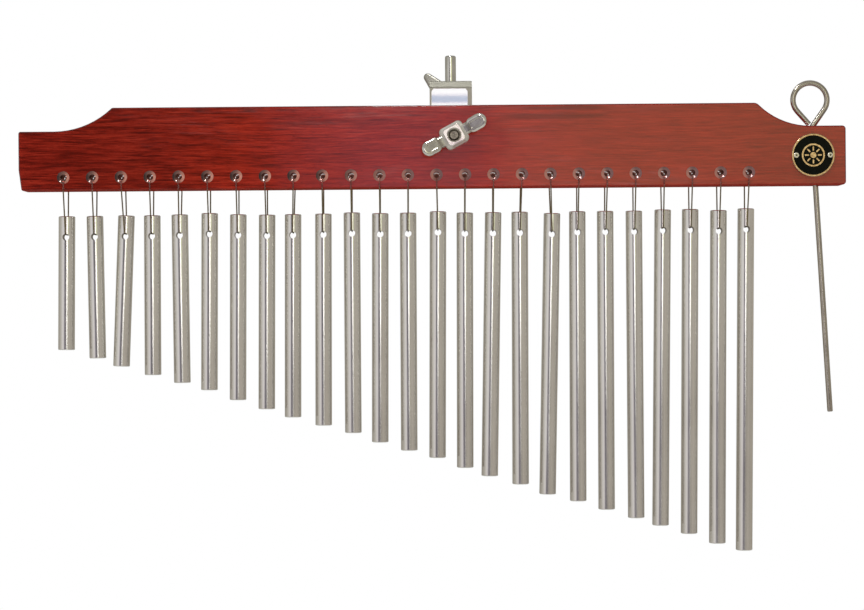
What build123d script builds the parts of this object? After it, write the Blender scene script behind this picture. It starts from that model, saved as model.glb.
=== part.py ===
from build123d import *
import os
from math import acos, asin, atan2, cos, radians, sin, sqrt, tan

os.makedirs("parts", exist_ok=True)

# Frame, millimetres: +X to the right along the beam, +Y to the back, +Z up.
# The origin is on the axis of the mount post, half way up its free length.

# ---------------------------------------------------------------- dimensions
# mount post
POST_R = 3.175
POST_FREE = 15.2
SPIGOT_R = 2.6
SPIGOT_L = 22.9

# mount bracket
BRACKET_W = 24.6
BRACKET_FRONT = -8.5
BLOCK_BACK = 9.0
BLOCK_H = 26.0
FOOT_BACK = -1.0
BORE_R = 2.75
BORE_DEPTH = 23.4
PANEL_W, PANEL_H, PANEL_DEEP = 21.2, 12.9, 0.7
PANEL_X, PANEL_TOP = -0.7, -12.0

# beam
BEAM_T = 20.0
BEAM_GAP = 0.2
BEAM_LEFT, BEAM_RIGHT = -248.3, 226.1
BEAM_H = 47.3
END_H = 33.9
LEFT_SHOULDER, LEFT_FOOT = -194.5, -227.9
RIGHT_SHOULDER, RIGHT_FOOT = 175.2, 206.1
LEFT_CORNER_R, RIGHT_CORNER_R = 2.0, 4.0
# the left-hand end is cut back a little towards its foot
SLANT_H, SLANT_IN = 12.0, 1.6
EDGE_R = 0.8
HOLE_UP = 7.45
HOLE_R = 1.9
# each cord hole opens into a round dimple on both faces
DIMPLE_R = 3.6
DIMPLE_DEEP = 1.6

# rise of the bracket over the beam, and depth of the bolt under the beam's top
BRACKET_RISE = 15.7
BOLT_DROP = 17.8

# bars, from the shortest to the longest
BAR_R = 9.525 / 2
BAR_FIRST, BAR_STEP = 77.0, 5.0
BAR_DROP = 13.7
BAR_HOLE_DOWN = 12.0
BAR_HOLE_R = 1.95
BAR_CHAMFER = 0.4
# place of each cord hole along the beam
HOLE_X = [
    -222.7, -206.1, -189.6, -173.1, -156.6, -140.1, -123.6, -107.1, -90.7,
    -74.3, -57.8, -41.4, -25.1, -8.7, 7.7, 24.0, 40.3, 56.6, 72.9, 89.2,
    105.5, 121.7, 137.9, 154.2, 170.4,
]
# place of each bar under its hole, and each bar's own lean and height
BAR_X = [
    -222.2, -205.8, -188.2, -172.9, -156.9, -139.8, -123.3, -106.7, -91.7,
    -74.2, -57.7, -41.4, -25.3, -8.1, 7.4, 23.6, 39.1, 57.5, 72.3, 88.4,
    105.0, 121.5, 137.4, 153.7, 169.5,
]
BAR_LEAN = [
    -0.65, 0.75, -2.35, -0.15, 0.45, -0.55, -0.55, -0.55, -0.45, -0.35, -0.05,
    -0.45, -0.15, -0.55, -0.35, -1.2, -0.25, -1.35, -0.25, -0.15, 0.0,
    -0.85, -0.65, -0.65, -0.75,
]
BAR_RISE = [
    -0.81, -0.75, -0.58, -0.62, -0.26, 0.41, -0.43, -0.77, -0.61, -0.44, 0.12,
    -0.42, -0.25, 0.41, -0.43, -0.37, -0.21, -1.14, -0.18, -0.12, -0.15, 0.41,
    0.57, -0.17, 0.69,
]

# cords: a thin line, knotted behind the beam
CORD_R = 0.40
CORD_GAP = 0.35
KNOT_R = 1.85
KNOT_OUT = 0.6
KNOT_TAIL = 3.6

# clamp bolt, washer and wing nut; the bolt is a little off the post's axis
BOLT_X = 1.5
BOLT_R = 3.0
BOLT_HEAD_AF, BOLT_HEAD_H = 10.0, 4.0
WASHER_R, WASHER_T = 6.1, 1.3
NUT_W, NUT_D, NUT_H = 14.4, 13.0, 10.0
NUT_FACE_W, NUT_FACE_D, NUT_NOSE = 10.4, 10.2, 2.2
NUT_TURN = 28.3
EAR_REACH, EAR_W, EAR_T, EAR_LIFT = 22.1, 9.0, 5.2, 14.0

# rear wing screw
SCREW_DROP = 10.2
SCREW_TURN = 132.75
SCREW_HUB_R, SCREW_HUB_H = 6.4, 8.0
SCREW_STAND = 1.8
DOG_R = 2.2

# beater
ROD_R = 1.6
ROD_LEAN = 3.25
ROD_X = 208.95
ROD_HOLE_R = 3.1
ROD_UNDER = 130.5
EYE_R, EYE_UP, EYE_BEND, EYE_SINK = 9.8, 15.45, 4.0, 1.8

# badge
BADGE_R, BADGE_T, BADGE_DEEP = 12.4, 1.4, 0.5
BADGE_X = 207.2
PIN_OUT, PIN_HEAD_R, PIN_R, PIN_L = 9.7, 1.65, 0.8, 8.0

# ------------------------------------------------------------ derived levels
POST_TOP = POST_FREE / 2
BRACKET_TOP = -POST_FREE / 2
BEAM_TOP = BRACKET_TOP - BRACKET_RISE
BEAM_BOTTOM = BEAM_TOP - BEAM_H
END_TOP = BEAM_BOTTOM + END_H
BEAM_BACK = BRACKET_FRONT - BEAM_GAP
BEAM_FRONT = BEAM_BACK - BEAM_T
BEAM_MID = BEAM_BACK - BEAM_T / 2
BOLT_Z = BEAM_TOP - BOLT_DROP
SCREW_Z = BRACKET_TOP - SCREW_DROP
HOLE_Z = BEAM_BOTTOM + HOLE_UP
END_MID = (END_TOP + BEAM_BOTTOM) / 2
BADGE_Z = END_MID


def facing_front(y):
    """Plane seen from the front, +X right and +Z up, normal to the front."""
    return Plane.XZ.offset(-y)


def facing_back(x, y, z):
    """Plane with its normal to the back, at a point."""
    return Plane(origin=(x, y, z), x_dir=(-1, 0, 0), z_dir=(0, 1, 0))


def front_spot(x, y, z):
    """Plane with its normal to the front, at a point."""
    return Plane(origin=(x, y, z), x_dir=(1, 0, 0), z_dir=(0, -1, 0))


# ---------------------------------------------------------------------- beam
step = BEAM_TOP - END_TOP
left_run = LEFT_SHOULDER - LEFT_FOOT
right_run = RIGHT_FOOT - RIGHT_SHOULDER
left_r = (left_run**2 + step**2) / (2 * step)
right_r = (right_run**2 + step**2) / (2 * step)
left_half = asin(left_run / left_r) / 2
right_half = asin(right_run / right_r) / 2
# the ball that leaves a dimple, and how far its centre stands off the face
ball_r = (DIMPLE_R**2 + DIMPLE_DEEP**2) / (2 * DIMPLE_DEEP)
ball_out = ball_r - DIMPLE_DEEP

with BuildPart() as beam:
    with BuildSketch(facing_front(BEAM_BACK)) as outline:
        with BuildLine():
            Polyline(
                (LEFT_FOOT, END_TOP),
                (BEAM_LEFT, END_TOP),
                (BEAM_LEFT, BEAM_BOTTOM + SLANT_H),
                (BEAM_LEFT + SLANT_IN, BEAM_BOTTOM),
                (BEAM_RIGHT, BEAM_BOTTOM),
                (BEAM_RIGHT, END_TOP),
                (RIGHT_FOOT, END_TOP),
            )
            ThreePointArc(
                (RIGHT_FOOT, END_TOP),
                (
                    RIGHT_FOOT - right_r * sin(right_half),
                    END_TOP + right_r * (1 - cos(right_half)),
                ),
                (RIGHT_SHOULDER, BEAM_TOP),
            )
            Line((RIGHT_SHOULDER, BEAM_TOP), (LEFT_SHOULDER, BEAM_TOP))
            ThreePointArc(
                (LEFT_SHOULDER, BEAM_TOP),
                (
                    LEFT_FOOT + left_r * sin(left_half),
                    END_TOP + left_r * (1 - cos(left_half)),
                ),
                (LEFT_FOOT, END_TOP),
            )
        make_face()
        left_end = outline.vertices().sort_by(Axis.X)[:3].sort_by(Axis.Y)
        fillet([left_end[0], left_end[-1]], 1.2)
        fillet(outline.vertices().sort_by(Axis.X)[-2:], 2.0)
        fillet(
            outline.vertices().group_by(Axis.Y)[-1].sort_by(Axis.X)[0],
            LEFT_CORNER_R,
        )
        fillet(
            outline.vertices().group_by(Axis.Y)[-1].sort_by(Axis.X)[-1],
            RIGHT_CORNER_R,
        )
    extrude(amount=BEAM_T)
    fillet(beam.faces().sort_by(Axis.Y)[0].edges(), EDGE_R)
    fillet(beam.faces().sort_by(Axis.Y)[-1].edges(), EDGE_R)
    with Locations(*[front_spot(x, BEAM_FRONT, HOLE_Z) for x in HOLE_X]):
        Hole(HOLE_R, depth=BEAM_T + 1)
    with Locations(
        *[(x, BEAM_FRONT - ball_out, HOLE_Z) for x in HOLE_X],
        *[(x, BEAM_BACK + ball_out, HOLE_Z) for x in HOLE_X],
    ):
        Sphere(ball_r, mode=Mode.SUBTRACT)
    with Locations(front_spot(BOLT_X, BEAM_FRONT, BOLT_Z)):
        Hole(BOLT_R + 0.3, depth=BEAM_T + 1)
    with Locations((ROD_X, BEAM_MID, END_TOP + 1)):
        Hole(ROD_HOLE_R, depth=END_H + 2)
    with Locations(
        front_spot(BADGE_X - PIN_OUT, BEAM_FRONT, BADGE_Z),
        front_spot(BADGE_X + PIN_OUT, BEAM_FRONT, BADGE_Z),
    ):
        Hole(PIN_R + 0.05, depth=PIN_L - BADGE_T + BADGE_DEEP + 0.4)
beam.part.label = "beam"
export_step(beam.part, "parts/beam.step")

# ------------------------------------------------------------ bars and cords
for i, (hole_x, x, lean, rise) in enumerate(zip(HOLE_X, BAR_X, BAR_LEAN, BAR_RISE)):
    length = BAR_FIRST + BAR_STEP * i
    hang_z = BEAM_BOTTOM - BAR_DROP - BAR_HOLE_DOWN + rise
    a = radians(lean)
    across = Plane(
        origin=(x, BEAM_MID, hang_z),
        x_dir=(cos(a), 0, sin(a)),
        z_dir=(-sin(a), 0, cos(a)),
    )
    with BuildPart() as bar:
        with BuildSketch(across.offset(BAR_HOLE_DOWN - length)):
            Circle(BAR_R)
        extrude(amount=length)
        chamfer(bar.edges().filter_by(GeomType.CIRCLE), BAR_CHAMFER)
        with Locations(front_spot(x, BEAM_MID - BAR_R - 1, hang_z)):
            Hole(BAR_HOLE_R, depth=2 * BAR_R + 2)
    bar.part.label = f"bar_{i + 1:02d}"
    export_step(bar.part, f"parts/bar_{i + 1:02d}.step")

    # one closed loop: through the beam, over the lips of the two dimples, down
    # both faces and through the bar, drawn here for the back half in a plane
    # that is turned about the hole so that it meets the bar
    sway = asin((x - hole_x) / (HOLE_Z - hang_z))
    hanging = Plane(
        origin=(hole_x, BEAM_MID, HOLE_Z),
        x_dir=(0, 1, 0),
        z_dir=(cos(sway), 0, sin(sway)),
    )
    clear = CORD_R + CORD_GAP
    top_z = HOLE_Z - (HOLE_R - clear)
    low_z = hang_z + (BAR_HOLE_R - CORD_R - 0.1)
    face = BEAM_T / 2 + clear
    # the run over the dimple keeps clear of the chord from the hole to the lip
    chord_u = sqrt(ball_r**2 - HOLE_R**2) - ball_out
    chord_v = DIMPLE_R - HOLE_R
    chord = sqrt(chord_u**2 + chord_v**2)
    from_u = BEAM_T / 2 - chord_u + clear * chord_v / chord
    from_z = HOLE_Z - HOLE_R + clear * chord_u / chord
    slope_at = from_u - (top_z - from_z) * chord_u / chord_v
    lip_z = from_z - (face - from_u) * chord_v / chord_u
    edge_z = BEAM_BOTTOM - 0.6
    mouth = BAR_R + 1.0
    half = [
        (slope_at, top_z - HOLE_Z),
        (face, lip_z - HOLE_Z),
        (face, edge_z - HOLE_Z),
        (mouth, low_z - HOLE_Z),
    ]
    route = half + [(-u, v) for u, v in reversed(half)]
    bends = [1.0, 1.0, 3.0, 1.0, 1.0, 3.0, 1.0, 1.0]
    with BuildPart() as cord:
        with BuildLine(hanging) as loop:
            FilletPolyline(*route, radius=bends, close=True)
        with BuildSketch(Plane(origin=loop.line @ 0, z_dir=loop.line % 0)):
            Circle(CORD_R)
        sweep(path=loop.line)
        knot = Vector(hole_x, BEAM_BACK + KNOT_OUT, HOLE_Z)
        with Locations(knot):
            Sphere(KNOT_R)
        for side in (-1, 1):
            with BuildSketch(Plane(origin=knot, z_dir=(side * 0.6, 0.7, 0.4))):
                Circle(CORD_R)
            extrude(amount=KNOT_TAIL)
    cord.part.label = f"cord_{i + 1:02d}"
    export_step(cord.part, f"parts/cord_{i + 1:02d}.step")

# ------------------------------------------------------------- mount bracket
with BuildPart() as mount_bracket:
    with BuildSketch(facing_front(FOOT_BACK)):
        Polygon(
            (-BRACKET_W / 2, BRACKET_TOP),
            (-BRACKET_W / 2, BRACKET_TOP - BLOCK_H),
            (BOLT_X - BRACKET_W / 2, BOLT_Z),
            (BOLT_X + BRACKET_W / 2, BOLT_Z),
            (BRACKET_W / 2, BRACKET_TOP - BLOCK_H),
            (BRACKET_W / 2, BRACKET_TOP),
            align=None,
        )
        with Locations((BOLT_X, BOLT_Z)):
            Circle(BRACKET_W / 2)
    extrude(amount=FOOT_BACK - BRACKET_FRONT)
    with BuildSketch(facing_front(BLOCK_BACK)):
        with Locations((0, BRACKET_TOP - BLOCK_H / 2)):
            Rectangle(BRACKET_W, BLOCK_H)
    extrude(amount=BLOCK_BACK - BRACKET_FRONT)
    fillet(
        mount_bracket.edges()
        .filter_by(Axis.Z)
        .filter_by_position(Axis.Y, BLOCK_BACK - 0.1, BLOCK_BACK + 0.1),
        4.0,
    )
    chamfer(
        mount_bracket.edges()
        .filter_by(Axis.X)
        .filter_by_position(Axis.Z, BRACKET_TOP - 0.1, BRACKET_TOP + 0.1)
        .sort_by(Axis.Y)[0],
        2.4,
        3.6,
    )
    fillet(mount_bracket.faces().sort_by(Axis.Z)[-1].edges(), 0.8)
    with BuildSketch(facing_front(BRACKET_FRONT)):
        with Locations((PANEL_X, PANEL_TOP - PANEL_H / 2)):
            RectangleRounded(PANEL_W, PANEL_H, 2.6)
    extrude(amount=-PANEL_DEEP, mode=Mode.SUBTRACT)
    with Locations((0, 0, BRACKET_TOP)):
        Hole(BORE_R, depth=BORE_DEPTH)
    with Locations(facing_back(0, BLOCK_BACK, SCREW_Z)):
        Hole(BOLT_R + 0.1, depth=BLOCK_BACK)
    with Locations(facing_back(BOLT_X, FOOT_BACK, BOLT_Z)):
        Hole(BOLT_R + 0.05, depth=FOOT_BACK - BRACKET_FRONT + 1)
mount_bracket.part.label = "mount_bracket"
export_step(mount_bracket.part, "parts/mount_bracket.step")

# ---------------------------------------------------------------- mount post
with BuildPart() as mount_post:
    with BuildSketch(Plane.XY.offset(BRACKET_TOP + 0.1)):
        Circle(POST_R)
    extrude(amount=POST_FREE - 0.1)
    fillet(mount_post.edges().sort_by(Axis.Z)[-1], 1.0)
    with BuildSketch(Plane.XY.offset(BRACKET_TOP + 0.1)):
        Circle(SPIGOT_R)
    extrude(amount=-SPIGOT_L)
    chamfer(mount_post.edges().sort_by(Axis.Z)[0], 0.5)
mount_post.part.label = "mount_post"
export_step(mount_post.part, "parts/mount_post.step")

# ---------------------------------------------------- clamp bolt and washer
NUT_BACK = BEAM_FRONT - 0.2 - WASHER_T - 0.1
NUT_FRONT = NUT_BACK - NUT_H
BOLT_END = NUT_FRONT + 1.9

with BuildPart() as clamp_bolt:
    with BuildSketch(facing_front(FOOT_BACK + BOLT_HEAD_H)):
        with Locations((BOLT_X, BOLT_Z)):
            RegularPolygon(BOLT_HEAD_AF / 2, 6, major_radius=False)
    extrude(amount=BOLT_HEAD_H)
    chamfer(clamp_bolt.faces().sort_by(Axis.Y)[-1].edges(), 0.6)
    with BuildSketch(facing_front(FOOT_BACK)):
        with Locations((BOLT_X, BOLT_Z)):
            Circle(BOLT_R)
    extrude(amount=FOOT_BACK - BOLT_END)
    chamfer(clamp_bolt.faces().sort_by(Axis.Y)[0].edges(), 0.7)
clamp_bolt.part.label = "clamp_bolt"
export_step(clamp_bolt.part, "parts/clamp_bolt.step")

with BuildPart() as washer:
    with BuildSketch(facing_front(BEAM_FRONT - 0.2)):
        with Locations((BOLT_X, BOLT_Z)):
            Circle(WASHER_R)
            Circle(BOLT_R + 0.2, mode=Mode.SUBTRACT)
    extrude(amount=WASHER_T)
    fillet(washer.edges().filter_by(GeomType.CIRCLE).sort_by(SortBy.RADIUS)[-2:], 0.3)
washer.part.label = "washer"
export_step(washer.part, "parts/washer.step")

# ------------------------------------------------------------ front wing nut
# one ear, drawn flat: +X along the ear from the bolt's axis, +Z to the front
with BuildPart() as nut_ear:
    with BuildSketch():
        with Locations((EAR_REACH - EAR_W / 2 - 2.1, 0)):
            SlotCenterToCenter(4.2, EAR_W)
        with Locations((8.0, 0)):
            Rectangle(7.0, 6.8)
    extrude(amount=EAR_T)
    fillet(
        nut_ear.faces().sort_by(Axis.Z)[-1].edges()
        + nut_ear.faces().sort_by(Axis.Z)[0].edges(),
        1.7,
    )
    with BuildSketch(Plane.XY.offset(EAR_T)):
        with Locations((EAR_REACH - EAR_W / 2 - 2.1, 0)):
            SlotCenterToCenter(4.0, 4.2)
    extrude(amount=-0.8, taper=25, mode=Mode.SUBTRACT)

ear_lift = radians(EAR_LIFT)
with BuildPart() as front_wing_nut:
    with BuildSketch(front_spot(BOLT_X, NUT_BACK, BOLT_Z)):
        RectangleRounded(NUT_W, NUT_D, 2.4, rotation=NUT_TURN)
    extrude(amount=NUT_H - NUT_NOSE)
    with BuildSketch(front_spot(BOLT_X, NUT_FRONT + NUT_NOSE, BOLT_Z)):
        RectangleRounded(NUT_W, NUT_D, 2.4, rotation=NUT_TURN)
    with BuildSketch(front_spot(BOLT_X, NUT_FRONT, BOLT_Z)):
        RectangleRounded(NUT_FACE_W, NUT_FACE_D, 2.0, rotation=NUT_TURN)
    loft(ruled=True)
    fillet(front_wing_nut.faces().sort_by(Axis.Y)[0].edges(), 0.5)
    for side in (0, 180):
        t = radians(NUT_TURN + side)
        out = Vector(cos(t), 0, sin(t))
        ahead = Vector(0, -1, 0)
        with Locations(
            Plane(
                origin=Vector(BOLT_X, NUT_BACK - 1.2, BOLT_Z),
                x_dir=out * cos(ear_lift) + ahead * sin(ear_lift),
                z_dir=ahead * cos(ear_lift) - out * sin(ear_lift),
            )
        ):
            add(nut_ear.part)
    with Locations(front_spot(BOLT_X, NUT_FRONT, BOLT_Z)):
        CounterSinkHole(BOLT_R + 0.1, 4.2, depth=NUT_H + 1, counter_sink_angle=90)
front_wing_nut.part.label = "front_wing_nut"
export_step(front_wing_nut.part, "parts/front_wing_nut.step")

# ----------------------------------------------------------- rear wing screw
with BuildPart() as screw_ear:
    with BuildSketch():
        Circle(7.2)
        with Locations((20.15, 0)):
            Circle(2.4)
        make_hull()
    extrude(amount=4.6)
    fillet(
        screw_ear.faces().sort_by(Axis.Z)[-1].edges()
        + screw_ear.faces().sort_by(Axis.Z)[0].edges(),
        1.3,
    )

HUB_FRONT = BLOCK_BACK + SCREW_STAND
with BuildPart() as rear_wing_screw:
    with BuildSketch(facing_back(0, HUB_FRONT, SCREW_Z)):
        Circle(SCREW_HUB_R)
    extrude(amount=SCREW_HUB_H, taper=4)
    fillet(rear_wing_screw.faces().sort_by(Axis.Y)[-1].edges(), 1.5)
    for side in (0, 180):
        t = radians(SCREW_TURN + side)
        out = Vector(cos(t), 0, sin(t))
        behind = Vector(0, 1, 0)
        lift = radians(10)
        with Locations(
            Plane(
                origin=Vector(0, HUB_FRONT + 0.8, SCREW_Z),
                x_dir=out * cos(lift) + behind * sin(lift),
                z_dir=behind * cos(lift) - out * sin(lift),
            )
        ):
            add(screw_ear.part)
    with BuildSketch(facing_front(HUB_FRONT)):
        with Locations((0, SCREW_Z)):
            Circle(BOLT_R)
    extrude(amount=HUB_FRONT - 4.6)
    with BuildSketch(facing_front(4.7)):
        with Locations((0, SCREW_Z)):
            Circle(DOG_R)
    extrude(amount=4.7 - SPIGOT_R - 0.25)
rear_wing_screw.part.label = "rear_wing_screw"
export_step(rear_wing_screw.part, "parts/rear_wing_screw.step")

# -------------------------------------------------------------------- beater
tilt = radians(ROD_LEAN)
rod_top_x = ROD_X - (END_TOP - END_MID) * tan(tilt)
along = Plane(
    origin=(rod_top_x, BEAM_MID, END_TOP),
    x_dir=(cos(tilt), 0, sin(tilt)),
    z_dir=(0, -1, 0),
)
# the rod bends by this much to run tangent to the eye
rise = EYE_UP + EYE_SINK
bend = atan2(rise, EYE_BEND) - acos((EYE_R + EYE_BEND) / sqrt(rise**2 + EYE_BEND**2))
leave = (EYE_BEND * (1 - cos(bend)), -EYE_SINK + EYE_BEND * sin(bend))
meet = (EYE_R * cos(bend), EYE_UP - EYE_R * sin(bend))
tail = 10.1
rod_low = -(END_H + ROD_UNDER) / cos(tilt)

with BuildPart() as beater:
    with BuildLine(along) as wire:
        Line((0, rod_low), (0, -EYE_SINK))
        CenterArc(
            (EYE_BEND, -EYE_SINK),
            EYE_BEND,
            start_angle=180,
            arc_size=-bend * 180 / 3.141592653589793,
        )
        Line(leave, meet)
        CenterArc(
            (0, EYE_UP),
            EYE_R,
            start_angle=-bend * 180 / 3.141592653589793,
            arc_size=180 + 2 * bend * 180 / 3.141592653589793,
        )
        Line(
            (-meet[0], meet[1]),
            (-meet[0] + tail * sin(bend), meet[1] - tail * cos(bend)),
        )
    with BuildSketch(Plane(origin=wire.line @ 0, z_dir=wire.line % 0)):
        Circle(ROD_R)
    sweep(path=wire.line)
    fillet(beater.edges().filter_by(GeomType.CIRCLE).sort_by(Axis.Z)[0], 0.6)
beater.part.label = "beater"
export_step(beater.part, "parts/beater.step")

# --------------------------------------------------------------------- badge
badge_floor = BEAM_FRONT - BADGE_T + BADGE_DEEP
with BuildPart() as badge:
    with BuildSketch(front_spot(BADGE_X, BEAM_FRONT, BADGE_Z)):
        Circle(BADGE_R)
    extrude(amount=BADGE_T)
    fillet(badge.edges().sort_by(Axis.Y)[0], 0.4)
    with BuildSketch(front_spot(BADGE_X, BEAM_FRONT - BADGE_T, BADGE_Z)):
        Circle(BADGE_R - 1.0)
    extrude(amount=-BADGE_DEEP, mode=Mode.SUBTRACT)
    with BuildSketch(front_spot(BADGE_X, badge_floor, BADGE_Z)):
        Circle(6.6)
        Circle(5.7, mode=Mode.SUBTRACT)
        Circle(1.7)
        with PolarLocations(3.7, 8):
            SlotOverall(2.4, 0.8)
    extrude(amount=BADGE_DEEP - 0.1)
    with Locations(
        front_spot(BADGE_X - PIN_OUT, badge_floor, BADGE_Z),
        front_spot(BADGE_X + PIN_OUT, badge_floor, BADGE_Z),
    ):
        Hole(PIN_R + 0.05, depth=BADGE_T)
badge.part.label = "badge"
export_step(badge.part, "parts/badge.step")

with BuildPart() as badge_pins:
    with BuildSketch(front_spot(BADGE_X, badge_floor, BADGE_Z)):
        with Locations((-PIN_OUT, 0), (PIN_OUT, 0)):
            Circle(PIN_HEAD_R)
    extrude(amount=1.0)
    fillet(
        badge_pins.edges().filter_by(GeomType.CIRCLE).group_by(Axis.Y)[0], 0.6
    )
    with BuildSketch(front_spot(BADGE_X, badge_floor, BADGE_Z)):
        with Locations((-PIN_OUT, 0), (PIN_OUT, 0)):
            Circle(PIN_R)
    extrude(amount=-(PIN_L - 0.2))
    with Locations(
        front_spot(BADGE_X - PIN_OUT, badge_floor - 1.0, BADGE_Z),
        front_spot(BADGE_X + PIN_OUT, badge_floor - 1.0, BADGE_Z),
    ):
        Hole(0.75, depth=0.7)
badge_pins.part.label = "badge_pins"
export_step(badge_pins.part, "parts/badge_pins.step")
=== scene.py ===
import math

import bpy
from mathutils import Matrix, Vector


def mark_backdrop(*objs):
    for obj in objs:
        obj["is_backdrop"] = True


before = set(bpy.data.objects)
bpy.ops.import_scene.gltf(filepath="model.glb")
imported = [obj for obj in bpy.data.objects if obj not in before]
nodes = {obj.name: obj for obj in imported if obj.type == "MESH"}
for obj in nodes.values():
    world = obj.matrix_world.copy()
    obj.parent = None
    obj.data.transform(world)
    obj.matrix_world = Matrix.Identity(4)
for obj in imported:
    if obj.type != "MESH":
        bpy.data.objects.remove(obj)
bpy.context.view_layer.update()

MM = 0.001


# ------------------------------------------------------------- node helpers
class Nodes:
    """A node tree, with short calls for the nodes used here."""

    def __init__(self, tree, coords):
        self.tree = tree
        self.tree.nodes.clear()
        self.coords = self.tree.nodes.new("ShaderNodeTexCoord").outputs[coords]

    def link(self, a, b):
        self.tree.links.new(a, b)

    def feed(self, socket, value):
        if isinstance(value, bpy.types.NodeSocket):
            self.link(value, socket)
        elif isinstance(value, tuple) and len(value) == 3 and len(getattr(socket, "default_value", ())) == 4:
            socket.default_value = (*value, 1.0)
        else:
            socket.default_value = value

    def scaled(self, x, y, z, turn=(0, 0, 0), shift=(0, 0, 0)):
        n = self.tree.nodes.new("ShaderNodeMapping")
        self.link(self.coords, n.inputs["Vector"])
        n.inputs["Scale"].default_value = (x, y, z)
        n.inputs["Rotation"].default_value = turn
        n.inputs["Location"].default_value = shift
        return n.outputs["Vector"]

    def noise(self, vector, scale=1.0, detail=4.0, rough=0.55, warp=0.0):
        n = self.tree.nodes.new("ShaderNodeTexNoise")
        self.link(vector, n.inputs["Vector"])
        n.inputs["Scale"].default_value = scale
        n.inputs["Detail"].default_value = detail
        n.inputs["Roughness"].default_value = rough
        n.inputs["Distortion"].default_value = warp
        return n.outputs["Fac"]

    def spread(self, value, low, high, to_low=0.0, to_high=1.0, smooth=True):
        n = self.tree.nodes.new("ShaderNodeMapRange")
        n.interpolation_type = "SMOOTHSTEP" if smooth else "LINEAR"
        self.feed(n.inputs["Value"], value)
        n.inputs["From Min"].default_value = low
        n.inputs["From Max"].default_value = high
        n.inputs["To Min"].default_value = to_low
        n.inputs["To Max"].default_value = to_high
        return n.outputs["Result"]

    def math(self, op, a, b=0.0, c=0.0):
        n = self.tree.nodes.new("ShaderNodeMath")
        n.operation = op
        self.feed(n.inputs[0], a)
        self.feed(n.inputs[1], b)
        self.feed(n.inputs[2], c)
        return n.outputs[0]

    def split(self, vector=None):
        n = self.tree.nodes.new("ShaderNodeSeparateXYZ")
        self.link(vector or self.coords, n.inputs[0])
        return n.outputs[0], n.outputs[1], n.outputs[2]

    def ramp(self, value, *stops):
        n = self.tree.nodes.new("ShaderNodeValToRGB")
        self.feed(n.inputs[0], value)
        band = n.color_ramp.elements
        while len(band) < len(stops):
            band.new(0.5)
        for e, (at, colour) in zip(band, stops):
            e.position = at
            e.color = (*colour, 1.0)
        return n.outputs["Color"]

    def mix(self, factor, a, b, mode="MIX"):
        n = self.tree.nodes.new("ShaderNodeMix")
        n.data_type = "RGBA"
        n.blend_type = mode
        self.feed(n.inputs[0], factor)
        self.feed(n.inputs[6], a)
        self.feed(n.inputs[7], b)
        return n.outputs[2]

    def bump(self, height, distance, strength=1.0, under=None):
        n = self.tree.nodes.new("ShaderNodeBump")
        n.inputs["Strength"].default_value = strength
        n.inputs["Distance"].default_value = distance
        self.link(height, n.inputs["Height"])
        if under is not None:
            self.link(under, n.inputs["Normal"])
        return n.outputs["Normal"]

    def within(self, value, low, high, soft):
        """1 between two values, falling to 0 outside over a soft edge."""
        rise = self.spread(value, low - soft, low + soft)
        fall = self.spread(value, high - soft, high + soft, 1.0, 0.0)
        return self.math("MULTIPLY", rise, fall)


class Shader(Nodes):
    """A material around one principled shader."""

    def __init__(self, name, **sockets):
        self.material = bpy.data.materials.new(name)
        self.material.use_nodes = True
        super().__init__(self.material.node_tree, "Object")
        self.out = self.tree.nodes.new("ShaderNodeOutputMaterial")
        self.bsdf = self.tree.nodes.new("ShaderNodeBsdfPrincipled")
        self.link(self.bsdf.outputs[0], self.out.inputs["Surface"])
        for key, value in sockets.items():
            self.set(key.replace("_", " "), value)

    def set(self, socket, value):
        """A constant or an output on one of the shader's own sockets."""
        self.feed(self.bsdf.inputs[socket], value)


def dress(shader, *names):
    for name in names:
        mesh = nodes[name].data
        mesh.materials.clear()
        mesh.materials.append(shader.material)


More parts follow.
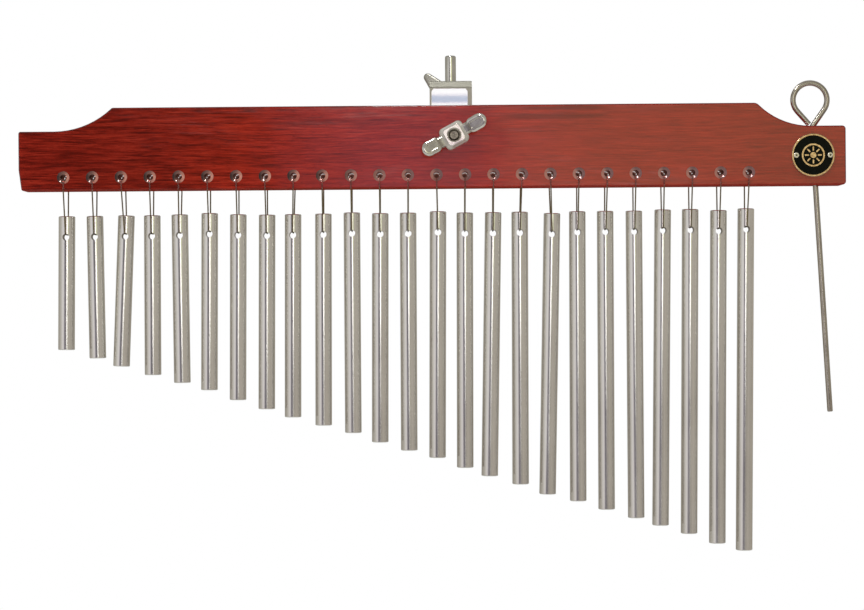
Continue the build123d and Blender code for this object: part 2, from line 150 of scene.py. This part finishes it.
# -------------------------------------------------------------- lacquered wood
def lacquered_wood():
    s = Shader(
        "lacquered_wood",
        Specular_IOR_Level=0.0,
        Coat_Weight=1.0,
        Coat_Roughness=0.09,
        Coat_IOR=1.5,
    )
    x, y, z = s.split()
    # grain: long streaks along the board, warped a little
    drift = s.noise(s.scaled(5, 14, 14), detail=2)
    wander = s.tree.nodes.new("ShaderNodeVectorMath")
    wander.operation = "MULTIPLY_ADD"
    lean = s.tree.nodes.new("ShaderNodeCombineXYZ")
    s.feed(lean.inputs[2], drift)
    s.link(lean.outputs[0], wander.inputs[0])
    wander.inputs[1].default_value = (0, 0, 0.012)
    s.link(s.coords, wander.inputs[2])

    def along(a, b, c):
        n = s.tree.nodes.new("ShaderNodeMapping")
        s.link(wander.outputs[0], n.inputs["Vector"])
        n.inputs["Scale"].default_value = (a, b, c)
        return n.outputs["Vector"]

    broad = s.noise(along(34, 80, 210), detail=3, rough=0.5)
    fine = s.noise(along(64, 300, 1200), detail=5, rough=0.66)
    pores = s.noise(along(260, 900, 2400), detail=2, rough=0.5)
    grain = s.math("ADD", s.math("MULTIPLY", broad, 0.22), s.math("MULTIPLY", fine, 0.78))
    # the grain is bold at the left-hand end and quiet at the right
    bold = s.spread(x, -0.20, 0.06, 4.0, 1.5)
    drawn = s.math("MULTIPLY_ADD", s.math("SUBTRACT", grain, 0.5), bold, 0.5)
    colour = s.ramp(
        drawn,
        (0.08, (0.187, 0.0078, 0.0046)),
        (0.40, (0.397, 0.0198, 0.0100)),
        (0.60, (0.512, 0.0280, 0.0142)),
        (0.92, (0.668, 0.0480, 0.0240)),
    )
    pitted = s.math("MULTIPLY", s.spread(pores, 0.58, 0.70), s.spread(x, -0.12, 0.06, 0.60, 0.18))
    colour = s.mix(pitted, colour, (0.170, 0.0088, 0.0056))
    # uneven stain in darker clouds; along the board a gradient, darkest near the left-hand end, lightest a
    # little right of the middle, and lighter at the right-hand end than at the left
    cloud = s.noise(s.scaled(9, 9, 22), detail=3)
    colour = s.mix(s.spread(cloud, 0.50, 0.72, 0.0, 0.30), colour, (0.250, 0.0135, 0.0080))
    lengthwise_tone = s.ramp(
        s.spread(x, -0.25, 0.23, smooth=False),
        (0.03, (0.720, 0.73, 0.76)),
        (0.15, (0.655, 0.65, 0.63)),
        (0.28, (0.840, 0.68, 0.60)),
        (0.40, (0.865, 0.78, 0.80)),
        (0.46, (0.885, 0.79, 0.82)),
        (0.60, (0.970, 0.88, 0.90)),
        (0.70, (0.885, 0.86, 0.86)),
        (0.82, (0.885, 0.86, 0.86)),
        (0.89, (0.805, 0.82, 0.80)),
        (0.98, (0.785, 0.80, 0.78)),
    )
    colour = s.mix(1.0, colour, lengthwise_tone, "MULTIPLY")
    # two dark mineral streaks in the board, right of the middle near its top
    for z0, x0, x1, half in ((-0.0303, 0.020, 0.098, 0.0016), (-0.0256, 0.030, 0.100, 0.0011)):
        run = s.math("MULTIPLY", s.spread(x, x0, x0 + 0.018), s.spread(x, x1 - 0.020, x1, 1.0, 0.0))
        off = s.math("ABSOLUTE", s.math("SUBTRACT", z, z0))
        wobble = s.math("MULTIPLY_ADD", s.noise(along(60, 60, 300), detail=3), -0.0024, 0.0012)
        core = s.spread(s.math("ADD", off, wobble), half * 0.4, half * 1.5, 1.0, 0.0)
        colour = s.mix(s.math("MULTIPLY", s.math("MULTIPLY", run, core), 0.62), colour, (0.135, 0.0045, 0.0030))
    # the bowls of the cord holes are burnished, and their bores are painted dark: painted shade
    row = s.math("MULTIPLY", s.within(x, -0.2300, 0.1775, 0.0002), s.within(z, -0.0671, -0.0592, 0.0002))
    bowls = s.math("ADD", s.within(y, -0.02866, -0.02745, 0.00003), s.within(y, -0.00995, -0.00874, 0.00003))
    bowls = s.math("MULTIPLY", row, bowls)
    shaded_bores = s.math("MULTIPLY", row, s.within(y, -0.02745, -0.00995, 0.00003))
    facing = s.tree.nodes.new("ShaderNodeTexCoord").outputs["Normal"]
    nx, ny, nz = s.split(facing)
    # painted light and shade in the left-hand bowls: the left wall painted dark, the right wall painted salmon
    # as if lit
    painted_bowl_light = s.ramp(
        s.spread(nx, 0.75, -0.75, smooth=False),
        (0.10, (0.050, 0.028, 0.028)),
        (0.50, (0.420, 0.190, 0.150)),
        (0.85, (0.950, 0.420, 0.320)),
    )
    # painted light and shade in the right-hand bowls, the other way about and paler
    painted_bowl_light_right = s.ramp(
        s.spread(nx, -0.75, 0.75, smooth=False),
        (0.10, (0.300, 0.150, 0.150)),
        (0.50, (0.380, 0.190, 0.175)),
        (0.85, (0.680, 0.320, 0.260)),
    )
    painted_bowl_light = s.mix(s.spread(x, -0.09, -0.01), painted_bowl_light, painted_bowl_light_right)
    # painted shade on the upper walls of the bowls, which face down
    painted_bowl_light = s.mix(s.spread(nz, -0.25, -0.75, 0.0, 0.55), painted_bowl_light, (0.070, 0.035, 0.032))
    # painted shade: a thin dark line along the upper rounds; the lower round is painted a lighter red, painted
    # light where it faces down into shade
    rounds = s.math("ADD", s.within(y, -0.02862, -0.02785, 0.00004), s.within(y, -0.00955, -0.00878, 0.00004))
    upper_round_shade = s.math("MULTIPLY", rounds, s.spread(z, -0.0680, -0.0670))
    upper_round_shade = s.math("MULTIPLY", upper_round_shade, s.math("SUBTRACT", 1.0, row))
    colour = s.mix(s.math("MULTIPLY", upper_round_shade, 0.80), colour, (0.060, 0.0140, 0.0100))
    lower = s.math("MULTIPLY", s.spread(nz, -0.20, -0.75), s.spread(z, -0.0702, -0.0696, 1.0, 0.0))
    # painted light: the lower round, facing down, is painted a lighter red so it does not go dark
    colour = s.mix(s.math("MULTIPLY", lower, 0.60), colour, (0.360, 0.0480, 0.0300))
    colour = s.mix(bowls, colour, painted_bowl_light)
    # painted shade in the bores
    colour = s.mix(shaded_bores, colour, (0.030, 0.016, 0.012))
    s.set("Metallic", s.math("MULTIPLY", bowls, 0.35))
    s.set("Roughness", s.spread(bowls, 0.0, 1.0, 0.45, 0.20))
    s.set("Base Color", colour)
    # the film is worn thin along the lower edge
    s.set("Coat Weight", s.spread(lower, 0.0, 0.8, 1.0, 0.12))
    # grain telegraphs faintly through the film; the film itself is slightly wavy
    under = s.bump(grain, 0.00025, 0.35)
    s.set("Normal", under)
    wave = s.noise(s.scaled(26, 60, 60), detail=2, rough=0.4)
    ridge = s.noise(along(20, 220, 520), detail=3)
    film = s.math("ADD", wave, s.math("MULTIPLY", ridge, 0.10))
    s.set("Coat Normal", s.bump(film, 0.0005, 0.4))
    return s


# ------------------------------------------------------------------- metals
def drawn_aluminium():
    s = Shader("bar_aluminium", Metallic=1.0)
    lines = s.noise(s.scaled(2600, 2600, 9), detail=3, rough=0.6)
    cloud = s.noise(s.scaled(70, 70, 26), detail=4)
    tone = s.math("ADD", s.math("MULTIPLY", lines, 0.45), s.math("MULTIPLY", cloud, 0.55))
    s.set("Base Color", s.ramp(tone, (0.28, (0.720, 0.705, 0.665)), (0.72, (0.850, 0.838, 0.802))))
    s.set("Roughness", s.spread(tone, 0.3, 0.7, 0.13, 0.22))
    s.set("Normal", s.bump(lines, 0.00004, 0.30))
    return s


def bright_plate(name, low, high, rough=(0.06, 0.16), grit=0.0):
    """Polished plated casting: soft pits and a faint orange peel."""
    s = Shader(name, Metallic=1.0)
    cloud = s.noise(s.scaled(130, 130, 130), detail=5, rough=0.6)
    s.set("Base Color", s.ramp(cloud, (0.30, low), (0.70, high)))
    s.set("Roughness", s.spread(cloud, 0.32, 0.68, *rough))
    peel = s.noise(s.scaled(420, 420, 420), detail=3)
    s.set("Normal", s.bump(peel, 0.00010, 0.25 + grit))
    return s


def satin_bracket():
    """Satin plated casting whose shallow front panel is left mirror bright, partly painted white as painted
    reflection.
    """
    s = Shader("chrome", Metallic=1.0)
    x, y, z = s.split()
    panel = s.math("MULTIPLY", s.within(x, -0.0112, 0.0098, 0.0001), s.within(z, -0.0248, -0.0121, 0.0001))
    panel = s.math("MULTIPLY", panel, s.within(y, -0.0084, -0.0076, 0.0001))
    cloud = s.noise(s.scaled(130, 130, 130), detail=5, rough=0.6)
    satin = s.ramp(cloud, (0.30, (0.385, 0.378, 0.322)), (0.70, (0.465, 0.457, 0.395)))
    # painted shade: the bevel along the top is painted dark
    satin = s.mix(s.spread(z, -0.0118, -0.0112, 0.0, 0.70), satin, (0.120, 0.115, 0.095))
    s.set("Base Color", s.mix(panel, satin, (0.950, 0.955, 0.962)))
    # the panel is four-fifths mirror and one fifth white paint, a painted reflection
    s.set("Metallic", s.spread(panel, 0.0, 1.0, 1.0, 0.80))
    s.set("Roughness", s.math("MULTIPLY", s.spread(cloud, 0.32, 0.68, 0.40, 0.50), s.spread(panel, 0.0, 1.0, 1.0, 0.04)))
    peel = s.noise(s.scaled(420, 420, 420), detail=3)
    peel = s.math("MULTIPLY", peel, s.spread(panel, 0.0, 1.0, 1.0, 0.04))
    s.set("Normal", s.bump(peel, 0.00008, 0.25))
    return s


def cast_wing_nut(axis_xz):
    """Bright casting, with painted shade in its countersink and painted shade and wood reflection where the
    ears spring.
    """
    s = Shader("nickel", Metallic=1.0)
    x, y, z = s.split()
    dx = s.math("SUBTRACT", x, axis_xz[0])
    dz = s.math("SUBTRACT", z, axis_xz[1])
    r = s.math("SQRT", s.math("ADD", s.math("MULTIPLY", dx, dx), s.math("MULTIPLY", dz, dz)))
    cloud = s.noise(s.scaled(130, 130, 130), detail=5, rough=0.6)
    bright = s.ramp(cloud, (0.30, (0.650, 0.620, 0.555)), (0.70, (0.820, 0.795, 0.735)))
    face = s.math("MULTIPLY", s.spread(r, 0.0060, 0.0072, 1.0, 0.0), s.spread(y, -0.0385, -0.0380, 1.0, 0.0))
    bright = s.mix(s.math("MULTIPLY", face, 0.3), bright, (0.560, 0.545, 0.510))
    # painted shade and painted reflection of the wood on the necks of the ears
    neck_shade_and_reflection = s.within(r, 0.0082, 0.0104, 0.0007)
    bright = s.mix(s.math("MULTIPLY", neck_shade_and_reflection, 0.55), bright, (0.230, 0.185, 0.130))
    # painted shade in the countersink
    sink_shade = s.spread(r, 0.0036, 0.0043, 1.0, 0.0)
    s.set("Base Color", s.mix(s.math("MULTIPLY", sink_shade, 0.60), bright, (0.150, 0.130, 0.100)))
    s.set("Roughness", s.spread(cloud, 0.32, 0.68, 0.09, 0.20))
    # the sloping sides of the body are duller than its face and its ears
    facing = s.tree.nodes.new("ShaderNodeTexCoord").outputs["Normal"]
    nx, ny, nz = s.split(facing)
    slope = s.math("MULTIPLY", s.spread(ny, -0.90, -0.65), s.within(r, 0.0046, 0.0096, 0.0004))
    s.set("Metallic", s.spread(slope, 0.0, 1.0, 1.0, 0.30))
    peel = s.noise(s.scaled(420, 420, 420), detail=3)
    s.set("Normal", s.bump(peel, 0.00010, 0.45))
    return s


def threaded(s, axis_xz, radius, pitch):
    """Adds thread ridges to a shank that runs front to back."""
    x, y, z = s.split()
    dx = s.math("SUBTRACT", x, axis_xz[0])
    dz = s.math("SUBTRACT", z, axis_xz[1])
    r = s.math("SQRT", s.math("ADD", s.math("MULTIPLY", dx, dx), s.math("MULTIPLY", dz, dz)))
    turn = s.math("DIVIDE", s.math("ARCTAN2", dz, dx), 2 * math.pi)
    phase = s.math("ADD", s.math("DIVIDE", y, pitch), turn)
    tooth = s.math("PINGPONG", phase, 0.5)
    shank = s.spread(r, radius + 0.00015, radius + 0.0004, 1.0, 0.0)
    ridge = s.math("MULTIPLY", tooth, shank)
    old = s.bsdf.inputs["Normal"].links[0].from_socket
    s.set("Normal", s.bump(ridge, 0.0008, 0.8, under=old))
    return s


def drawn_steel():
    s = Shader("beater_steel", Metallic=1.0)
    lines = s.noise(s.scaled(1500, 1500, 20), detail=4, rough=0.6)
    cloud = s.noise(s.scaled(90, 90, 60), detail=3)
    tone = s.math("ADD", s.math("MULTIPLY", lines, 0.4), s.math("MULTIPLY", cloud, 0.6))
    s.set("Base Color", s.ramp(tone, (0.30, (0.370, 0.335, 0.280)), (0.70, (0.550, 0.508, 0.440))))
    s.set("Roughness", s.spread(tone, 0.3, 0.7, 0.14, 0.27))
    s.set("Normal", s.bump(lines, 0.00004, 0.25))
    return s


# -------------------------------------------------------------- badge, pins
def enamel_badge(centre, floor_y):
    s = Shader("badge_brass", Specular_IOR_Level=0.06)
    x, y, z = s.split()
    dx = s.math("SUBTRACT", x, centre[0])
    dz = s.math("SUBTRACT", z, centre[1])
    r = s.math("SQRT", s.math("ADD", s.math("MULTIPLY", dx, dx), s.math("MULTIPLY", dz, dz)))
    inside = s.spread(r, 0.01125, 0.01140, 1.0, 0.0)
    low = s.spread(y, floor_y - 0.00022, floor_y - 0.00010)
    enamel = s.math("MULTIPLY", inside, low)
    rub = s.noise(s.scaled(600, 600, 600), detail=4)
    brass = s.ramp(rub, (0.30, (0.400, 0.245, 0.120)), (0.70, (0.800, 0.570, 0.350)))
    dust = s.noise(s.scaled(900, 900, 900), detail=3)
    black = s.ramp(dust, (0.45, (0.0016, 0.0019, 0.0018)), (0.80, (0.0060, 0.0070, 0.0066)))
    s.set("Base Color", s.mix(enamel, brass, black))
    s.set("Metallic", s.math("SUBTRACT", 1.0, enamel))
    s.set("Roughness", s.spread(enamel, 0.0, 1.0, 0.24, 0.13))
    s.set("Normal", s.bump(rub, 0.00006, 0.3))
    return s


def hollow_pins(centre, out):
    """Pale brass heads whose hollow centres are painted dark, painted shade."""
    s = Shader("pin_brass", Metallic=1.0)
    x, y, z = s.split()
    dx = s.math("SUBTRACT", s.math("ABSOLUTE", s.math("SUBTRACT", x, centre[0])), out)
    dz = s.math("SUBTRACT", z, centre[1])
    r = s.math("SQRT", s.math("ADD", s.math("MULTIPLY", dx, dx), s.math("MULTIPLY", dz, dz)))
    rub = s.noise(s.scaled(500, 500, 500), detail=4)
    pale = s.ramp(rub, (0.30, (0.740, 0.690, 0.560)), (0.70, (0.880, 0.840, 0.730)))
    # painted shade in the hollow centres
    s.set("Base Color", s.mix(s.spread(r, 0.00062, 0.00080, 0.9, 0.0), pale, (0.050, 0.038, 0.026)))
    s.set("Roughness", s.spread(rub, 0.3, 0.7, 0.20, 0.32))
    s.set("Normal", s.bump(rub, 0.00005, 0.3))
    return s


# --------------------------------------------------------------------- cord
def nylon_line():
    """Thin brown line, translucent; where it lies on the board the red behind it is painted into its colour as
    well.
    """
    s = Shader(
        "cord_brown",
        Roughness=0.20,
        Transmission_Weight=0.80,
        IOR=1.50,
        Specular_IOR_Level=0.5,
    )
    x, y, z = s.split()
    stretch = s.noise(s.scaled(900, 900, 160), detail=3)
    hanging = s.ramp(stretch, (0.32, (0.240, 0.188, 0.098)), (0.68, (0.380, 0.308, 0.175)))
    # against the board the red behind the line is painted into it, a painted show-through
    board_show_through = s.ramp(stretch, (0.32, (0.440, 0.165, 0.135)), (0.68, (0.560, 0.235, 0.200)))
    s.set("Base Color", s.mix(s.spread(z, -0.0716, -0.0700), hanging, board_show_through))
    s.set("Normal", s.bump(stretch, 0.00005, 0.3))
    return s


chrome = bright_plate("post_chrome", (0.560, 0.545, 0.495), (0.700, 0.685, 0.640))
nickel = cast_wing_nut((1.5 * MM, -41.1 * MM))
bolt_nickel = threaded(
    bright_plate("bolt_nickel", (0.225, 0.195, 0.155), (0.330, 0.295, 0.245), rough=(0.26, 0.40)),
    (1.5 * MM, -41.1 * MM), 3.0 * MM, 1.0 * MM,
)
screw_chrome = threaded(
    bright_plate("screw_chrome", (0.400, 0.390, 0.340), (0.500, 0.488, 0.430), rough=(0.38, 0.48)),
    (0.0, -17.8 * MM), 3.0 * MM, 1.0 * MM,
)

dress(lacquered_wood(), "beam")
dress(drawn_aluminium(), *[f"bar_{i:02d}" for i in range(1, 26)])
dress(nylon_line(), *[f"cord_{i:02d}" for i in range(1, 26)])
dress(satin_bracket(), "mount_bracket")
dress(chrome, "mount_post")
dress(screw_chrome, "rear_wing_screw")
dress(nickel, "front_wing_nut", "washer")
dress(bolt_nickel, "clamp_bolt")
dress(drawn_steel(), "beater")
dress(enamel_badge((207.2 * MM, -53.65 * MM), -29.6 * MM), "badge")
dress(hollow_pins((207.2 * MM, -53.65 * MM), 9.7 * MM), "badge_pins")

# -------------------------------------------------------------------- camera
camera_data = bpy.data.cameras.new("camera")
camera_data.sensor_width = 36.0
camera_data.lens = 36.0 * 1500.0 / 498.5
camera_data.clip_start = 0.01
camera = bpy.data.objects.new("camera", camera_data)
camera.matrix_world = (
    Matrix.Translation((-11.87 * MM, -1518.7 * MM, -137.83 * MM))
    @ Matrix.Rotation(math.radians(90.0), 4, "X")
    @ Matrix.Rotation(math.radians(-0.45), 4, "Z")
)
bpy.context.scene.collection.objects.link(camera)
bpy.context.scene.camera = camera


# ----------------------------------------------------------- studio and lights
def sheet(name, outline, at, turn=(0, 0, 0)):
    mesh = bpy.data.meshes.new(name)
    mesh.from_pydata([(u, v, 0) for u, v in outline], [], [tuple(range(len(outline)))])
    obj = bpy.data.objects.new(name, mesh)
    obj.location = at
    obj.rotation_euler = turn
    bpy.context.scene.collection.objects.link(obj)
    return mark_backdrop(obj) or obj


around = [2 * math.pi * i / 144 for i in range(144)]
floor = sheet("floor", [(0.8 * math.cos(t), 0.8 * math.sin(t)) for t in around], (0, 0, -0.42))
pale = Shader("floor_pale", Roughness=0.8)
grain = pale.noise(pale.scaled(40, 40, 40), detail=3)
pale.set("Base Color", pale.ramp(grain, (0.3, (0.86, 0.86, 0.855)), (0.7, (0.90, 0.90, 0.895))))
floor.data.materials.append(pale.material)


def softbox(name, at, look_at, size, radiance, colour=(1, 1, 1), height=None, form=True):
    """An area light given by its brightness; form=False leaves it to the gloss."""
    data = bpy.data.lights.new(name, "AREA")
    data.shape = "RECTANGLE"
    data.size = size
    data.size_y = height or size
    data.energy = radiance * math.pi * data.size * data.size_y
    data.color = colour
    obj = bpy.data.objects.new(name, data)
    obj.location = at
    obj.rotation_euler = (Vector(look_at) - Vector(at)).to_track_quat("-Z", "Y").to_euler()
    obj.visible_camera = False
    obj.visible_diffuse = form
    bpy.context.scene.collection.objects.link(obj)
    return obj


overhead = softbox("overhead", (0.0, -0.5, 1.3), (0.0, -0.02, -0.12), 1.4, 1.6)
overhead.visible_glossy = False
softbox("front", (0.10, -1.62, -0.0975), (0.10, 0, -0.0975), 0.40, 2.7, height=0.135)
softbox("spark", (-0.02, -0.20, 0.26), (-0.02, -0.03, -0.06), 0.070, 42.0, form=False)

# a wide card over the camera, for the sheen on the lacquer; its upper middle
# is a bright window that the bracket's panel and the post pick up
corners = [(-0.75, -0.18), (0.75, -0.18), (0.75, 0.18), (-0.75, 0.18)]
card = sheet("card", corners, (0, -1.56, 0.145), (math.radians(90), 0, 0))
glow = Shader("card_glow")
cx, cy, cz = glow.split()
shade = glow.ramp(
    glow.spread(cx, -0.75, 0.75, smooth=False),
    (0.0, (0.050, 0.050, 0.050)),
    (0.208, (0.070, 0.065, 0.035)),
    (0.277, (0.100, 0.085, 0.050)),
    (0.353, (0.160, 0.150, 0.060)),
    (0.429, (0.90, 0.61, 0.75)),
    (0.468, (0.90, 0.62, 0.83)),
    (0.523, (0.90, 0.70, 0.85)),
    (0.536, (0.45, 0.33, 0.36)),
    (0.552, (1.40, 1.12, 0.88)),
    (0.620, (1.15, 1.12, 0.72)),
    (0.773, (1.15, 1.17, 0.71)),
    (1.0, (1.05, 1.10, 0.70)),
)
middle = glow.within(cx, -0.022, 0.044, 0.008)
low_window = glow.math("MULTIPLY", middle, glow.within(cy, -0.061, -0.0450, 0.002))
veil = glow.math("MULTIPLY", middle, glow.within(cy, -0.0450, -0.0350, 0.003))
panel_window = glow.math("MULTIPLY", glow.within(cx, -0.11, 0.14, 0.02), glow.spread(cy, -0.0385, -0.0325))
high_window = glow.math("MULTIPLY", glow.within(cx, -0.36, 0.24, 0.03), glow.spread(cy, -0.026, -0.018))
panes = glow.math("MAXIMUM", low_window, panel_window)
lamp = glow.tree.nodes.new("ShaderNodeEmission")
shade = glow.mix(veil, shade, (0.52, 0.60, 0.76))
shade = glow.mix(panes, shade, (1.18, 1.18, 1.18))
glow.link(glow.mix(high_window, shade, (2.1, 2.1, 2.1)), lamp.inputs["Color"])
lamp.inputs["Strength"].default_value = 1.0
glow.link(lamp.outputs[0], glow.out.inputs["Surface"])
card.data.materials.append(glow.material)
card.visible_camera = False

# the studio around: white behind for the camera, and for the reflections a
# room that is lighter on the left, plain on the right and dark behind
world = bpy.data.worlds.new("studio")
bpy.context.scene.world = world
world.use_nodes = True
room = Nodes(world.node_tree, "Generated")
east, north, up = room.split()
azimuth = room.math("ARCTAN2", east, room.math("MULTIPLY", north, -1.0))
climb = room.math("ARCSINE", up)
turn = room.spread(azimuth, -math.pi, math.pi, smooth=False)


def bearing(*stops):
    """A ramp by bearing in degrees, 0 to the front and 90 to the right."""
    return room.ramp(turn, *[((d + 180) / 360, c) for d, c in stops])


horizon = bearing(
    (-180, (0.090, 0.078, 0.060)),
    (-166, (0.185, 0.172, 0.145)),
    (-150, (0.35, 0.34, 0.305)),
    (-115, (0.37, 0.36, 0.32)),
    (-92, (0.44, 0.43, 0.39)),
    (-74, (0.52, 0.51, 0.48)),
    (-55, (0.68, 0.67, 0.66)),
    (-40, (0.74, 0.73, 0.74)),
    (-31, (0.66, 0.65, 0.68)),
    (-23, (0.24, 0.23, 0.27)),
    (-17, (0.17, 0.16, 0.19)),
    (-6, (0.17, 0.16, 0.18)),
    (4, (0.30, 0.29, 0.29)),
    (14, (0.36, 0.340, 0.307)),
    (42, (0.455, 0.430, 0.387)),
    (74, (0.405, 0.384, 0.341)),
    (95, (0.435, 0.413, 0.366)),
    (115, (0.425, 0.404, 0.351)),
    (150, (0.35, 0.34, 0.295)),
    (166, (0.185, 0.172, 0.140)),
    (180, (0.090, 0.078, 0.060)),
)
# and brightest just above eye level
tilt = room.ramp(
    room.spread(climb, math.radians(-5), math.radians(5), smooth=False),
    (0.0, (0.96, 0.92, 0.91)),
    (0.65, (1.18, 1.15, 1.15)),
    (0.75, (1.18, 1.15, 1.15)),
    (1.0, (1.00, 1.00, 1.00)),
)
horizon = room.mix(1.0, horizon, tilt, "MULTIPLY")
height = room.spread(up, -1.0, 1.0, smooth=False)
dome = room.ramp(
    height,
    (0.0, (0.22, 0.21, 0.19)),
    (0.40, (0.24, 0.23, 0.21)),
    (0.60, (0.33, 0.32, 0.29)),
    (0.75, (0.38, 0.37, 0.34)),
    (1.0, (0.42, 0.41, 0.39)),
)
level = room.spread(room.math("ABSOLUTE", climb), math.radians(10), math.radians(30), 1.0, 0.0)
ambient = room.tree.nodes.new("ShaderNodeBackground")
room.link(room.mix(level, dome, horizon), ambient.inputs["Color"])
ambient.inputs["Strength"].default_value = 1.0
backdrop = room.tree.nodes.new("ShaderNodeBackground")
backdrop.inputs["Color"].default_value = (1, 1, 1, 1)
backdrop.inputs["Strength"].default_value = 1.0
ray = room.tree.nodes.new("ShaderNodeLightPath")
either = room.tree.nodes.new("ShaderNodeMixShader")
room.link(ray.outputs["Is Camera Ray"], either.inputs[0])
room.link(ambient.outputs[0], either.inputs[1])
room.link(backdrop.outputs[0], either.inputs[2])
room.link(either.outputs[0], room.tree.nodes.new("ShaderNodeOutputWorld").inputs["Surface"])

bpy.context.scene.view_settings.view_transform = "Standard"
bpy.context.scene.view_settings.look = "None"
